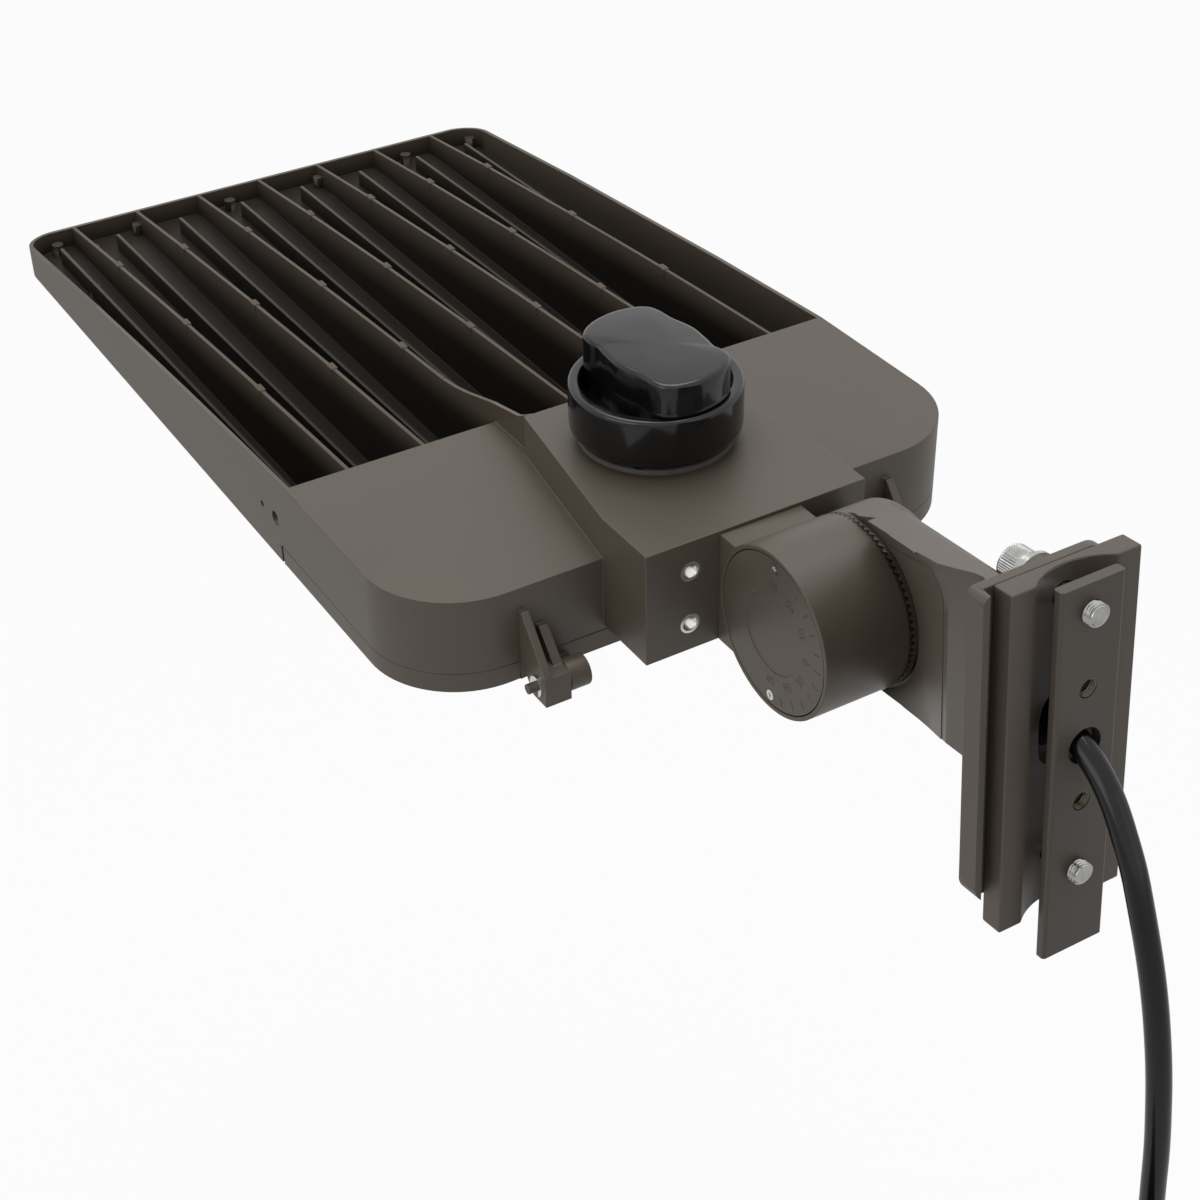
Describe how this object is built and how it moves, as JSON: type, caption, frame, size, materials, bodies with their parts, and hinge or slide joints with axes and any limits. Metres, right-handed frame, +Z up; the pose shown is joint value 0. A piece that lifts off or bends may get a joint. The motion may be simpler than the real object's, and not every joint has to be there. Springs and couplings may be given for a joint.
{
  "type": "shoebox area light",
  "caption": "Finned die-cast outdoor area light on a toothed tilting knuckle arm, with a pole clamp, a door for its driver and a twist-lock shorting cap.",
  "frame": {"origin": "centre of the adapter's pole face, halfway between the two clamp bolts", "axes": "+X away from the pole towards the light's nose, +Y to the side with the dial, +Z up"},
  "size_m": [0.8809, 0.32, 0.3839],
  "materials": {
    "bronze_coat": "dark bronze powder coat, fine texture",
    "bronze_dark": "dark bronze coat on steel",
    "bright_steel": "bright stainless",
    "black_plastic": "moulded, glossy",
    "black_nylon": "moulded, matt",
    "cord_jacket": "extruded, satin",
    "conductor": "stripped copper and jackets",
    "blade_brass": "stamped",
    "seal": "moulded foam seal",
    "board": "white solder mask",
    "package": "phosphor",
    "optic": "clear moulded lens",
    "can": "satin"
  },
  "bodies": {
    "arm": {"arm": "bronze_coat", "pole_adapter": "bronze_coat", "clamp_bolts": "bright_steel", "lock_washers": "bright_steel", "flat_washers": "bright_steel", "cord_gland": "black_nylon", "cord_run": "cord_jacket", "cord_coil": "cord_jacket", "cord_tie": "black_nylon", "cord_leads": "conductor"},
    "plate": {"back_plate": "bronze_dark"},
    "pivot": {"pivot_bolt": "bright_steel", "pivot_washers": "bright_steel", "dial_carrier": "bronze_dark", "dial_disc": "bronze_coat", "dial_screws": "bright_steel"},
    "head": {"knuckle": "bronze_coat", "knuckle_screws": "bright_steel", "housing": "bronze_coat", "thread_inserts": "bright_steel", "led_boards": "board", "led_packages": "package", "lens_panel": "optic", "lens_gasket": "seal", "lens_screws": "bright_steel", "surge_protector": "black_nylon", "terminal_block": "board", "receptacle": "black_nylon", "receptacle_gasket": "seal", "receptacle_screws": "bright_steel", "hinge_pins": "bronze_dark", "hinge_clips": "bright_steel"},
    "door": {"door": "bronze_coat", "door_gasket": "seal", "driver": "can", "driver_screws": "bright_steel"},
    "screws": {"door_screws": "bright_steel"},
    "cap": {"shorting_cap": "black_plastic", "cap_blades": "blade_brass"}
  },
  "joints": [
    {"name": "plate_clamp", "type": "slide", "parent": "arm", "child": "plate", "axis": [1, 0, 0], "range_m": [0, 0.0034]},
    {"name": "knuckle_release", "type": "slide", "parent": "arm", "child": "pivot", "axis": [0, 1, 0], "range_m": [0, 0.0025]},
    {"name": "head_tilt", "type": "hinge", "parent": "pivot", "child": "head", "pos_m": [0.1712, 0, -0.0332], "axis": [0, 1, 0], "range_deg": [-65, 85]},
    {"name": "door_hinge", "type": "hinge", "parent": "head", "child": "door", "pos_m": [0.23894, 0, -0.06401], "axis": [0, -1, 0], "range_deg": [-90, 0]},
    {"name": "door_screw_travel", "type": "slide", "parent": "door", "child": "screws", "axis": [0.0872, 0, -0.9962], "range_m": [0, 0.01]},
    {"name": "cap_twist", "type": "hinge", "parent": "head", "child": "cap", "pos_m": [0.29685, 0, 0.01182], "axis": [-0.0872, 0, 0.9962], "range_deg": [0, 30]}
  ]
}
